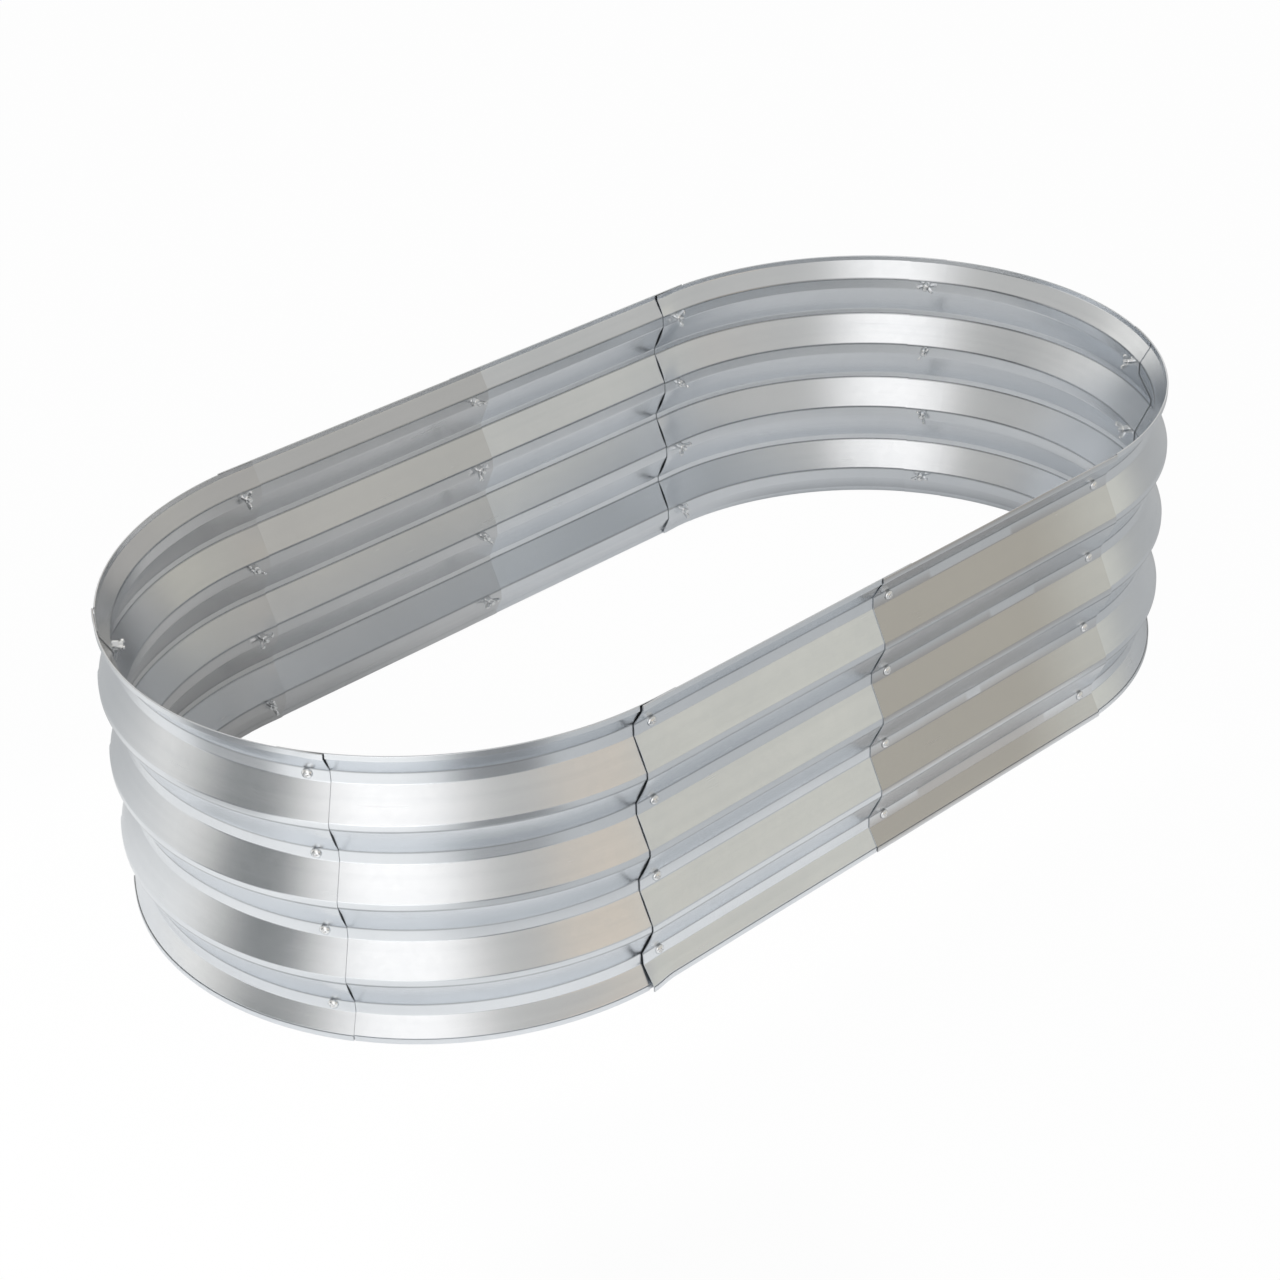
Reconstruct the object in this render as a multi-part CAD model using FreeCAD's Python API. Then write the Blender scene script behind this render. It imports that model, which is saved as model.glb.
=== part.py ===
import FreeCAD, Part

import math
import os

# An oval raised garden bed of corrugated sheet steel, in millimetres, +Z up.
# Ten overlapping panels stand on edge in a ring that is open at the top and at the bottom. Four are
# straight and six are curved. Each of the ten laps is held by four bolts with wing nuts.
# +X runs along the bed, and the front is at -Y. The origin is at the footprint's centre, on the ground.

# ---- Driving dimensions ------------------------------------------------------------------------

# The plan: two straight sides, and two half-round ends.
straight_half = 295.0  # from the middle of the bed to the centre of each rounded end
valley_radius = 291.0  # outer surface at the bottom of the corrugation's valleys, on the innermost panels
end_lap_angle = 30.0  # angle between the bed's long axis and the laps of the rounded ends

# The sheet and its corrugation.
bed_height = 300.0
sheet = 0.8
valley_count = 4
corrugation_pitch = 80.5
corrugation_depth = 15.5
crest_flat = 6.0  # between the corners that the crest's two bends round off
bend_radius = 4.0  # at the middle of the sheet
seat_margin = 0.3  # flat sheet left in a valley, above and below the bolt's head
rim_lean = 10.5  # how far the top and bottom edges stand out from the valleys

# The folded safe edge along the top and the bottom.
hem_height = 5.5
hem_round = 0.6

# The laps. Each panel lies one step further out than the panel it overlaps.
lap_half = 20.0  # from the row of bolts to the panel's end
lap_clearance = 0.03  # least gap between two lapped panels
hem_notch_clearance = 1.0  # from the end of the inner panel's fold to the outer panel's end

# Bolts.
bolt_radius = 2.45
bolt_length = 12.0  # under the head
bolt_hole_clearance = 0.55
tip_chamfer = 0.5
head_overhang = 2.35  # from the shank to the head's edge
head_edge = 1.0  # height of the head's upright edge, under its dome
head_dome = 2.2  # rise of the dome over that edge
recess_length = 4.6
recess_width = 1.1
recess_depth = 1.6
seat_clearance = 0.02  # under bolt heads and nuts

# Wing nuts.
nut_thread_clearance = 0.05
nut_base_wall = 2.35  # from the shank to the hub's edge, at the seat
nut_top_wall = 1.45
nut_height = 6.5
wing_span = 20.0
wing_thickness = 2.0
wing_rise = 11.5  # height of the wings' tips over the nut's seat
wing_tip_radius = 2.6
wing_root_low = 1.2  # height of the wings' lower edge, at the hub
wing_root_drop = 0.5  # from the hub's top down to the wings' upper edge
wing_angle_step = 67.0  # how much further round each next nut was left when it was tightened

# ---- Sizes worked out from these ---------------------------------------------------------------

X_AXIS = FreeCAD.Vector(1, 0, 0)
Z_AXIS = FreeCAD.Vector(0, 0, 1)
ORIGIN = FreeCAD.Vector(0, 0, 0)

mid_height = bed_height / 2
valley_heights = [
    mid_height + (row - (valley_count - 1) / 2) * corrugation_pitch for row in range(valley_count)
]

head_radius = bolt_radius + head_overhang
nut_base_radius = bolt_radius + nut_base_wall
nut_top_radius = bolt_radius + nut_top_wall
hole_radius = bolt_radius + bolt_hole_clearance

# Each valley has a flat strip that the bolt heads and nuts sit on.
seat_half = max(head_radius, nut_base_radius) + seat_margin


def half_turn_tangent(rise, run):
    """Tangent of half a flank's slope. run is the flank's height together with the bend it starts from."""
    return rise / (run + math.sqrt(run**2 + rise * (rise - 2 * bend_radius)))


def slope_of(half_tangent):
    return 2 * half_tangent / (1 - half_tangent**2)


crest_bend = half_turn_tangent(corrugation_depth, (corrugation_pitch - crest_flat) / 2 - seat_half)
rim_bend = half_turn_tangent(rim_lean, valley_heights[0] - seat_half - hem_height)
crest_setback = bend_radius * crest_bend
rim_setback = bend_radius * rim_bend

# The steepest flank sets how far apart two lapped panels have to be for their slopes to clear each other.
steepest_slope = max(slope_of(crest_bend), slope_of(rim_bend))
lap_step = (sheet + lap_clearance) * math.sqrt(1 + steepest_slope**2)

# How many steps each panel lies outside the innermost panels. The order is round the bed, from the left
# of the front.
LEVELS = {
    "panel_front_left": 1,
    "panel_front_right": 2,
    "corner_front_right": 1,
    "end_right": 0,
    "corner_back_right": 1,
    "panel_back_right": 2,
    "panel_back_left": 1,
    "corner_back_left": 0,
    "end_left": 1,
    "corner_front_left": 0,
}

# The two ends lie at different levels, so this puts the middle of the footprint on the origin.
middle_shift = (LEVELS["end_left"] - LEVELS["end_right"]) * lap_step / 2


# ---- The sheet's section, in the X-Z plane: X is outward, from the valleys' outer surface ------


def section_corners():
    """Corners of the corrugated sheet's middle line, from the bottom edge to the top edge."""
    middle = -sheet / 2
    corners = [(middle + rim_lean, 0.0), (middle + rim_lean, hem_height)]
    for row, height in enumerate(valley_heights):
        below = rim_setback if row == 0 else crest_setback
        above = rim_setback if row == valley_count - 1 else crest_setback
        corners.append((middle, height - seat_half - below))
        corners.append((middle, height + seat_half + above))
        if row < valley_count - 1:
            crest = height + corrugation_pitch / 2
            corners.append((middle + corrugation_depth, crest - crest_flat / 2))
            corners.append((middle + corrugation_depth, crest + crest_flat / 2))
    corners.append((middle + rim_lean, bed_height - hem_height))
    corners.append((middle + rim_lean, bed_height))
    return [FreeCAD.Vector(x, 0, z) for x, z in corners]


def bent_path(corners, shift):
    """Edges of a path with rounded corners, moved sideways by shift, outward being positive."""
    edges = []
    here = None
    for index in range(len(corners) - 1):
        along = (corners[index + 1] - corners[index]).normalize()
        outward = FreeCAD.Vector(along.z, 0, -along.x)
        if here is None:
            here = corners[index] + outward * shift
        if index == len(corners) - 2:
            edges.append(Part.makeLine(here, corners[index + 1] + outward * shift))
            break
        next_along = (corners[index + 2] - corners[index + 1]).normalize()
        next_outward = FreeCAD.Vector(next_along.z, 0, -next_along.x)
        turn = math.atan2(along.z * next_along.x - along.x * next_along.z, along.dot(next_along))
        setback = bend_radius * math.tan(abs(turn) / 2)
        bend_start = corners[index + 1] - along * setback
        bend_end = corners[index + 1] + next_along * setback
        # A bend whose centre lies outward turns outward, and its outer surface has the smaller radius.
        side = 1 if turn > 0 else -1
        centre = bend_start + outward * (side * bend_radius)
        radius = bend_radius - side * shift
        middle_direction = (outward + next_outward).normalize() * -side
        first = bend_start + outward * shift
        last = bend_end + next_outward * shift
        edges.append(Part.makeLine(here, first))
        edges.append(Part.Arc(first, centre + middle_direction * radius, last).toShape())
        here = last
    return edges


def sheet_face():
    """The corrugated sheet's section as one face."""
    corners = section_corners()
    outer = bent_path(corners, sheet / 2)
    inner = bent_path(corners, -sheet / 2)
    bottom = Part.makeLine(inner[0].firstVertex().Point, outer[0].firstVertex().Point)
    top = Part.makeLine(inner[-1].lastVertex().Point, outer[-1].lastVertex().Point)
    return Part.Face(Part.Wire(Part.__sortEdges__([bottom] + outer + [top] + inner)))


def hem_face(edge_height, inward):
    """The folded-over strip outside the sheet's edge. inward is +1 at the bottom and -1 at the top."""
    # The strip begins at the middle of the sheet, so that the two join into one solid.
    near = rim_lean - sheet / 2
    far = rim_lean + sheet
    fold_corner = FreeCAD.Vector(far, 0, edge_height)
    lip = edge_height + inward * hem_height
    fold_start = FreeCAD.Vector(far - hem_round, 0, edge_height)
    fold_end = FreeCAD.Vector(far, 0, edge_height + inward * hem_round)
    fold_centre = FreeCAD.Vector(fold_start.x, 0, fold_end.z)
    fold_middle = fold_centre + (fold_corner - fold_centre).normalize() * hem_round
    edges = [
        Part.makeLine(FreeCAD.Vector(near, 0, edge_height), fold_start),
        Part.Arc(fold_start, fold_middle, fold_end).toShape(),
        Part.makeLine(fold_end, FreeCAD.Vector(far, 0, lip)),
        Part.makeLine(FreeCAD.Vector(far, 0, lip), FreeCAD.Vector(near, 0, lip)),
        Part.makeLine(FreeCAD.Vector(near, 0, lip), FreeCAD.Vector(near, 0, edge_height)),
    ]
    return Part.Face(Part.Wire(edges))


SHEET_FACE = sheet_face()
HEM_FACES = [hem_face(0.0, 1), hem_face(bed_height, -1)]


# ---- Panels ------------------------------------------------------------------------------------


def straight_run(face, level, start, end):
    """The section drawn along the front side, from start to end along X."""
    placed = face.copy()
    placed.rotate(ORIGIN, Z_AXIS, -90)
    placed.translate(FreeCAD.Vector(start, -(valley_radius + level * lap_step), 0))
    return placed.extrude(FreeCAD.Vector(end - start, 0, 0))


def curved_run(face, level, start, end):
    """The section turned about the right end's centre, from one angle to another, 0 being along +X."""
    placed = face.copy()
    placed.translate(FreeCAD.Vector(valley_radius + level * lap_step, 0, 0))
    placed.rotate(ORIGIN, Z_AXIS, start)
    turned = placed.revolve(ORIGIN, Z_AXIS, end - start)
    turned.translate(FreeCAD.Vector(straight_half, 0, 0))
    return turned


def lap_degrees(length):
    return math.degrees(length / valley_radius)


def straight_panel(level, left_is_lapped, right_is_lapped):
    """A straight panel of the front's right half. Its hems stop short of a neighbour outside it."""
    start = -lap_half
    end = straight_half + lap_half
    hem_cut = 2 * lap_half + hem_notch_clearance
    hem_start = start + (hem_cut if left_is_lapped else 0.0)
    hem_end = end - (hem_cut if right_is_lapped else 0.0)
    pieces = [straight_run(face, level, hem_start, hem_end) for face in HEM_FACES]
    return straight_run(SHEET_FACE, level, start, end).fuse(pieces).removeSplitter()


def corner_panel(level, straight_is_lapped, curved_is_lapped):
    """The curved panel between the front and the right end, with the straight tail that it is lapped by."""
    start = straight_half - lap_half
    end = -end_lap_angle + lap_degrees(lap_half)
    hem_cut = 2 * lap_half + hem_notch_clearance
    pieces = [
        curved_run(SHEET_FACE, level, -90.0, end),
    ]
    hem_end = end - (lap_degrees(hem_cut) if curved_is_lapped else 0.0)
    for face in HEM_FACES:
        if straight_is_lapped:
            hem_start = -90.0 + lap_degrees(hem_cut - lap_half)
            pieces.append(curved_run(face, level, hem_start, hem_end))
        else:
            pieces.append(straight_run(face, level, start, straight_half))
            pieces.append(curved_run(face, level, -90.0, hem_end))
    return straight_run(SHEET_FACE, level, start, straight_half).fuse(pieces).removeSplitter()


def end_panel(level, lapped):
    """The curved panel across the right end."""
    end = end_lap_angle + lap_degrees(lap_half)
    hem_end = end - (lap_degrees(2 * lap_half + hem_notch_clearance) if lapped else 0.0)
    pieces = [curved_run(face, level, -hem_end, hem_end) for face in HEM_FACES]
    return curved_run(SHEET_FACE, level, -end, end).fuse(pieces).removeSplitter()


def to_quarter(shape, at_left, at_back):
    """Moves a shape of the front right quarter to another quarter, by mirroring."""
    moved = shape
    if at_left:
        moved = moved.mirror(ORIGIN, X_AXIS)
    if at_back:
        moved = moved.mirror(ORIGIN, FreeCAD.Vector(0, 1, 0))
    return moved


# ---- Laps: where each row of bolts stands, and which two panels it joins -----------------------


class Lap:
    """One row of bolts and the two panels it joins."""

    def __init__(self, name, angle, centre_x, first, second):
        self.name = name
        self.panels = (first, second)
        self.outward = FreeCAD.Vector(math.cos(math.radians(angle)), math.sin(math.radians(angle)), 0)
        self.angle = angle
        self.centre = FreeCAD.Vector(centre_x, 0, 0)
        levels = [LEVELS[first], LEVELS[second]]
        self.outer_face = valley_radius + max(levels) * lap_step
        self.inner_face = valley_radius + min(levels) * lap_step - sheet
        self.is_curved = not (first.startswith("panel") and second.startswith("panel"))

    def place(self, shape, distance, height, turn=0.0):
        """Puts a fastener drawn along +Z onto the lap, its own Z pointing outward."""
        placed = shape.copy()
        placed.rotate(ORIGIN, Z_AXIS, turn)
        placed.rotate(ORIGIN, FreeCAD.Vector(0, 1, 0), 90)
        placed.rotate(ORIGIN, Z_AXIS, self.angle)
        placed.translate(self.centre + self.outward * distance + FreeCAD.Vector(0, 0, height))
        return placed


LAPS = [
    Lap("front_middle", -90.0, 0.0, "panel_front_left", "panel_front_right"),
    Lap("front_right", -90.0, straight_half, "panel_front_right", "corner_front_right"),
    Lap("end_right_front", -end_lap_angle, straight_half, "corner_front_right", "end_right"),
    Lap("end_right_back", end_lap_angle, straight_half, "end_right", "corner_back_right"),
    Lap("back_right", 90.0, straight_half, "corner_back_right", "panel_back_right"),
    Lap("back_middle", 90.0, 0.0, "panel_back_right", "panel_back_left"),
    Lap("back_left", 90.0, -straight_half, "panel_back_left", "corner_back_left"),
    Lap("end_left_back", 180.0 - end_lap_angle, -straight_half, "corner_back_left", "end_left"),
    Lap("end_left_front", 180.0 + end_lap_angle, -straight_half, "end_left", "corner_front_left"),
    Lap("front_left", -90.0, -straight_half, "corner_front_left", "panel_front_left"),
]


# ---- Fasteners, drawn along Z with the seat at Z = 0 -------------------------------------------


def make_bolt():
    """A pan head bolt with a cross recess. The head is above Z = 0 and the shank below it."""
    head_height = head_edge + head_dome
    dome_radius = (head_radius**2 + head_dome**2) / (2 * head_dome)
    half_way = math.asin(head_radius / dome_radius) / 2
    top = FreeCAD.Vector(0, 0, head_height)
    edge_top = FreeCAD.Vector(head_radius, 0, head_edge)
    on_dome = top + FreeCAD.Vector(math.sin(half_way), 0, math.cos(half_way) - 1) * dome_radius
    outline = [
        Part.makeLine(ORIGIN, FreeCAD.Vector(head_radius, 0, 0)),
        Part.makeLine(FreeCAD.Vector(head_radius, 0, 0), edge_top),
        Part.Arc(edge_top, on_dome, top).toShape(),
        Part.makeLine(top, ORIGIN),
    ]
    head = Part.Face(Part.Wire(outline)).revolve(ORIGIN, Z_AXIS, 360)
    for turn in (0.0, 90.0):
        slot = Part.makeBox(recess_length, recess_width, recess_depth)
        slot.translate(FreeCAD.Vector(-recess_length / 2, -recess_width / 2, head_height - recess_depth))
        slot.rotate(ORIGIN, Z_AXIS, turn)
        head = head.cut(slot)
    shank = Part.makeCylinder(bolt_radius, bolt_length - tip_chamfer, ORIGIN, -Z_AXIS)
    tip = Part.makeCone(
        bolt_radius, bolt_radius - tip_chamfer, tip_chamfer, -Z_AXIS * (bolt_length - tip_chamfer), -Z_AXIS
    )
    return head.fuse([shank, tip]).removeSplitter()


def make_wing():
    """One wing of the nut, in the X-Z plane, rising outward from the hub to a round tip."""
    tip_centre = FreeCAD.Vector(wing_span / 2 - wing_tip_radius, 0, wing_rise - wing_tip_radius)
    root_bottom = FreeCAD.Vector((nut_top_radius + bolt_radius) / 2, 0, wing_root_low)
    root_top = FreeCAD.Vector(root_bottom.x, 0, nut_height - wing_root_drop)
    slope = (tip_centre - root_bottom).normalize()
    below = FreeCAD.Vector(slope.z, 0, -slope.x) * wing_tip_radius
    above = below * -1
    far_point = tip_centre + slope * wing_tip_radius
    edges = [
        Part.makeLine(root_bottom, tip_centre + below),
        Part.Arc(tip_centre + below, far_point, tip_centre + above).toShape(),
        Part.makeLine(tip_centre + above, root_top),
        Part.makeLine(root_top, root_bottom),
    ]
    face = Part.Face(Part.Wire(edges))
    face.translate(FreeCAD.Vector(0, -wing_thickness / 2, 0))
    return face.extrude(FreeCAD.Vector(0, wing_thickness, 0))


def make_wing_nut():
    """A wing nut: a tapered hub with two rising wings and a plain bore in place of the thread."""
    hub = Part.makeCone(nut_base_radius, nut_top_radius, nut_height)
    wing = make_wing()
    other_wing = wing.mirror(ORIGIN, X_AXIS)
    bore = Part.makeCylinder(bolt_radius + nut_thread_clearance, wing_rise)
    nut = hub.fuse([wing, other_wing]).cut(bore).removeSplitter()
    # The nut is screwed on from inside the bed, so it faces the other way from the bolt's head.
    nut.rotate(ORIGIN, X_AXIS, 180)
    return nut


def nut_seat(lap):
    """Distance of the nut's seat from the end's centre. A flat nut can't reach the bottom of a curve."""
    seat = lap.inner_face - seat_clearance
    if lap.is_curved:
        seat = math.sqrt(seat**2 - nut_base_radius**2)
    return seat


def drill(panel, name):
    """Cuts the bolt holes of the panel's two laps."""
    length = lap_step * (max(LEVELS.values()) + 1) * 2 + sheet * 2
    drilled = panel
    for lap in LAPS:
        if name in lap.panels:
            for height in valley_heights:
                hole = Part.makeCylinder(hole_radius, length, -Z_AXIS * (length / 2))
                drilled = drilled.cut(lap.place(hole, valley_radius, height))
    return drilled


# ---- Build and write ---------------------------------------------------------------------------


def build_panels():
    panels = {}
    for side, at_left in (("left", True), ("right", False)):
        for face, at_back in (("front", False), ("back", True)):
            # A panel is lapped over by each neighbour that lies further out.
            straight = f"panel_{face}_{side}"
            facing = f"panel_{face}_{'right' if at_left else 'left'}"
            corner = f"corner_{face}_{side}"
            end = f"end_{side}"
            straight_shape = straight_panel(
                LEVELS[straight], LEVELS[facing] > LEVELS[straight], LEVELS[corner] > LEVELS[straight]
            )
            corner_shape = corner_panel(
                LEVELS[corner], LEVELS[straight] > LEVELS[corner], LEVELS[end] > LEVELS[corner]
            )
            panels[straight] = to_quarter(straight_shape, at_left, at_back)
            panels[corner] = to_quarter(corner_shape, at_left, at_back)
        # Both corner panels of an end lie at one level.
        end_shape = end_panel(LEVELS[end], LEVELS[corner] > LEVELS[end])
        panels[end] = to_quarter(end_shape, at_left, False)
    return {name: drill(panel, name) for name, panel in panels.items()}


def build_fasteners():
    bolt = make_bolt()
    nut = make_wing_nut()
    groups = {}
    for lap_index, lap in enumerate(LAPS):
        bolts = []
        nuts = []
        for row, height in enumerate(valley_heights):
            turn = wing_angle_step * (lap_index * valley_count + row)
            bolts.append(lap.place(bolt, lap.outer_face + seat_clearance, height))
            nuts.append(lap.place(nut, nut_seat(lap), height, turn))
        groups[f"bolts_{lap.name}"] = Part.makeCompound(bolts)
        groups[f"wing_nuts_{lap.name}"] = Part.makeCompound(nuts)
    return groups


def main():
    os.makedirs("parts", exist_ok=True)
    nodes = build_panels()
    nodes.update(build_fasteners())
    for name, shape in nodes.items():
        shape.translate(X_AXIS * middle_shift)
        shape.exportStep(f"parts/{name}.step")
        print(f"{name}: {len(shape.Solids)} solid(s), valid {shape.isValid()}, volume {shape.Volume:.1f}")
    print(f"lap step {lap_step:.3f}")


main()
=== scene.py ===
# %% [markdown]
# # A raised garden bed of galvanised corrugated sheet
#
# The bed is a ring of ten overlapping sheet panels, four straight and six curved. Forty small bolts with
# wing nuts hold the laps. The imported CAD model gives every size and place. This script gives the panels the
# fine, smooth surface that polished sheet needs, and it gives every part its finish.

import math

import bpy
from mathutils import Matrix, Vector


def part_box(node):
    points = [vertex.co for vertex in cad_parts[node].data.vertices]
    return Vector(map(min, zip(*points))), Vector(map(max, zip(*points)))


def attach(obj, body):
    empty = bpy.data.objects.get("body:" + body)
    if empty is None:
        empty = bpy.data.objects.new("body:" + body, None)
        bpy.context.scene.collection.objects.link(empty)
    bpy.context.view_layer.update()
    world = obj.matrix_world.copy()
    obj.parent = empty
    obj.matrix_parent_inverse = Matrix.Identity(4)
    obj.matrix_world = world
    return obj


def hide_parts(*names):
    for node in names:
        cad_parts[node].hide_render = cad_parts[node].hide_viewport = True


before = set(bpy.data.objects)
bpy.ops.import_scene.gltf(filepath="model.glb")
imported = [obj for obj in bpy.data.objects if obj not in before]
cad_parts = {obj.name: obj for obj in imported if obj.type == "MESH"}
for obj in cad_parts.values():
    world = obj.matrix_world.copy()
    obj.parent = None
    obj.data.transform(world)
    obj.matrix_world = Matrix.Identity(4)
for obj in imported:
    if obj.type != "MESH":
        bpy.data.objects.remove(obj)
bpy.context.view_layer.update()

# %% [markdown]
# ## The camera
#
# The photograph looks down at the bed from the front left, with a long lens. A camera is easiest to aim by
# the point it looks at, its bearing round that point, its height angle, its distance and a small roll.

# %% Camera
LOOK_AT = Vector((-0.0758, -0.0392, 0.150))
CAMERA_BEARING = math.radians(-42.18)  # from the front, towards the right
CAMERA_HEIGHT = math.radians(30.99)
CAMERA_DISTANCE = 2.577
CAMERA_ROLL = math.radians(-1.98)
SENSOR_WIDTH = 36.0
LENS = 74.3

bpy.ops.object.camera_add()
camera = bpy.context.object
camera.name = "camera"
camera.data.sensor_width = SENSOR_WIDTH
camera.data.lens = LENS
aim = (
    Matrix.Rotation(CAMERA_BEARING, 4, "Z")
    @ Matrix.Rotation(math.pi / 2 - CAMERA_HEIGHT, 4, "X")
    @ Matrix.Rotation(CAMERA_ROLL, 4, "Z")
)
backward = aim.to_3x3() @ Vector((0, 0, 1))
camera.matrix_world = Matrix.Translation(LOOK_AT + backward * CAMERA_DISTANCE) @ aim
bpy.context.scene.camera = camera
bpy.context.scene.view_settings.view_transform = "Standard"
print("camera at", [round(value, 3) for value in camera.location])

# %% [markdown]
# ## A way to write shader maths
#
# A node material is a graph of sockets. Wrapping a socket in a small class lets a mask be written as a plain
# Python expression, and one method makes any other node. The world is built from nodes in the same way, so
# the same two classes serve it.


# %% Shader helpers
class Signal:
    """A socket that gives a number or a colour. The operators add Math nodes."""

    def __init__(self, finish, socket):
        self.finish = finish
        self.socket = socket

    def __add__(self, other):
        return self.finish.maths("ADD", self, other)

    def __sub__(self, other):
        return self.finish.maths("SUBTRACT", self, other)

    def __rsub__(self, other):
        return self.finish.maths("SUBTRACT", other, self)

    def __mul__(self, other):
        return self.finish.maths("MULTIPLY", self, other)

    def __abs__(self):
        return self.finish.maths("ABSOLUTE", self, 0.0)

    __radd__ = __add__
    __rmul__ = __mul__

    def between(self, low, high):
        """0 below low, 1 above high, and a soft step between them."""
        inputs = {"Value": self, "From Min": low, "From Max": high}
        return self.finish.node("ShaderNodeMapRange", {"interpolation_type": "SMOOTHSTEP"}, inputs)

    def wrapped(self, half):
        """Brought between -half and half, by whole steps of twice that."""
        return self.finish.node("ShaderNodeMath", {"operation": "WRAP"}, {0: self, 1: -half, 2: half})

    def around(self, middle, inner, outer):
        """For a bearing: 1 within inner degrees of middle, and 0 beyond outer degrees of it."""
        return 1.0 - abs((self - middle).wrapped(180.0)).between(inner, outer)


class Finish:
    """A material, or the world, and its nodes."""

    def __init__(self, made, output_kind="ShaderNodeOutputMaterial"):
        self.made = made
        self.made.use_nodes = True
        self.output_kind = output_kind
        self.tree = self.made.node_tree
        self.tree.nodes.clear()

    def node(self, kind, settings, inputs, output=0):
        """Adds a node, sets it up, and gives one of its outputs."""
        made = self.tree.nodes.new(kind)
        for name, value in settings.items():
            setattr(made, name, value)
        for name, value in inputs.items():
            if isinstance(value, Signal):
                self.tree.links.new(value.socket, made.inputs[name])
            else:
                made.inputs[name].default_value = value
        return Signal(self, made.outputs[output])

    def maths(self, operation, first, second):
        return self.node("ShaderNodeMath", {"operation": operation}, {0: first, 1: second})

    def mixed(self, share, first, second):
        """A colour between two colours."""
        settings = {"data_type": "RGBA"}
        return self.node("ShaderNodeMix", settings, {"Factor": share, 6: first, 7: second}, output=2)

    def place(self):
        """The place on the object, in metres."""
        return self.node("ShaderNodeTexCoord", {}, {}, output="Object")

    def along_axis(self, vector, axis):
        """One of a vector's three numbers."""
        return self.node("ShaderNodeSeparateXYZ", {}, {0: vector}, output=axis)

    def bearing(self, right, back):
        """The bearing in degrees: 0 is to the right and 90 is the back."""
        return self.maths("ARCTAN2", back, right) * math.degrees(1.0)

    def stretched(self, vector, scale, turn=0.0):
        """The same place with its own scale along each axis, for patterns that run one way."""
        inputs = {"Vector": vector, "Rotation": (0.0, 0.0, turn), "Scale": scale}
        return self.node("ShaderNodeMapping", {}, inputs)

    def noise(self, vector, scale, detail=2.0):
        return self.node("ShaderNodeTexNoise", {}, {"Vector": vector, "Scale": scale, "Detail": detail})

    def relief(self, height, strength, distance):
        inputs = {"Height": height, "Strength": strength, "Distance": distance}
        return self.node("ShaderNodeBump", {}, inputs)

    def metal(self, inputs):
        return self.surface(self.node("ShaderNodeBsdfPrincipled", {}, {"Metallic": 1.0, **inputs}))

    def surface(self, shader):
        output = self.tree.nodes.new(self.output_kind)
        self.tree.links.new(shader.socket, output.inputs["Surface"])
        return self.made


# %% [markdown]
# ## The studio
#
# The photograph is a product shot on white. Bright sheet metal shows hardly any colour of its own. It shows
# what stands round it, so the room is drawn on the world as a photographer would plan it: a grey room, a
# large soft box at the front left, paler walls, and a dark gap between them, each given by its bearing from
# the bed. The camera itself sees plain white.

# %% The room
GREY_ROOM = (0.57, 0.555, 0.53, 1.0)
SOFT_BOX = (1.28, 1.24, 1.20, 1.0)
SECOND_BOX = (1.00, 0.97, 0.93, 1.0)
BACK_WALL = (1.00, 0.97, 0.92, 1.0)
FRONT_WALL = (0.72, 0.70, 0.62, 1.0)
WOODEN_WALL = (0.82, 0.70, 0.57, 1.0)
DARK_GAP = (0.20, 0.21, 0.21, 1.0)
CEILING = (0.62, 0.62, 0.61, 1.0)
WHITE = (1.0, 1.0, 1.0, 1.0)

room = Finish(bpy.data.worlds.new("studio_room"), "ShaderNodeOutputWorld")
toward = room.node("ShaderNodeTexCoord", {}, {}, output="Generated")
upward = room.along_axis(toward, "Z")
low_down = 1.0 - upward.between(0.17, 0.37)
bearing = room.bearing(room.along_axis(toward, "X"), room.along_axis(toward, "Y"))

light = room.mixed(bearing.around(-147.0, 8.0, 38.0), GREY_ROOM, SOFT_BOX)
light = room.mixed(bearing.around(50.0, 8.0, 30.0), light, SECOND_BOX)
light = room.mixed(bearing.around(112.0, 20.0, 45.0) * low_down, light, BACK_WALL)
light = room.mixed(bearing.around(-45.0, 12.0, 32.0) * low_down, light, FRONT_WALL)
light = room.mixed(bearing.around(-80.0, 8.0, 24.0) * low_down, light, WOODEN_WALL)
light = room.mixed(bearing.around(169.5, 7.0, 19.0) * low_down, light, DARK_GAP)
light = room.mixed(upward.between(0.6, 0.85), light, CEILING)
seen = room.node("ShaderNodeLightPath", {}, {}, output="Is Camera Ray")
light = room.mixed(seen, light, WHITE)
glow = room.node("ShaderNodeBackground", {}, {"Color": light, "Strength": 1.0})
bpy.context.scene.world = room.surface(glow)
print("room:", bpy.context.scene.world.name)

# %% [markdown]
# ## The floor
#
# The faces of the sheet that look down show the floor. Close to the bed the floor is pale paper. Further out
# it is painted grey, with two painted dark places beside the light's path and a painted grey strip at the
# foot
# of the right end: painted shade, which the metal shows. The tones are given by the distance from the bed's
# wall and by the bearing from the centre of its left end. The camera sees the floor almost as plain white,
# with a trace of the bed's shadow.

# %% Floor
SEEN_WHITE = 0.975  # how far the camera sees the floor as plain white, beside how it is lit
MIRRORED_WHITE = 0.1  # the same for the floor that shows in the metal
PALE_PAPER = (0.9, 0.9, 0.9, 1.0)
# The grey and dark floor colours are painted shade, which the metal shows.
SHADED_GREY_FLOOR = (0.52, 0.53, 0.54, 1.0)
PAINTED_SHADOW_FLOOR = (0.16, 0.165, 0.17, 1.0)
FLOOR_SIZE = 120.0
FLOOR_HEIGHT = -0.0002  # just under the bed, so that the two don't touch
STRAIGHT_HALF = 0.295  # from the bed's middle to the centre of each rounded end
WALL_OUT = 0.3  # from the bed's centre line to about the middle of its wall's depth

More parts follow.
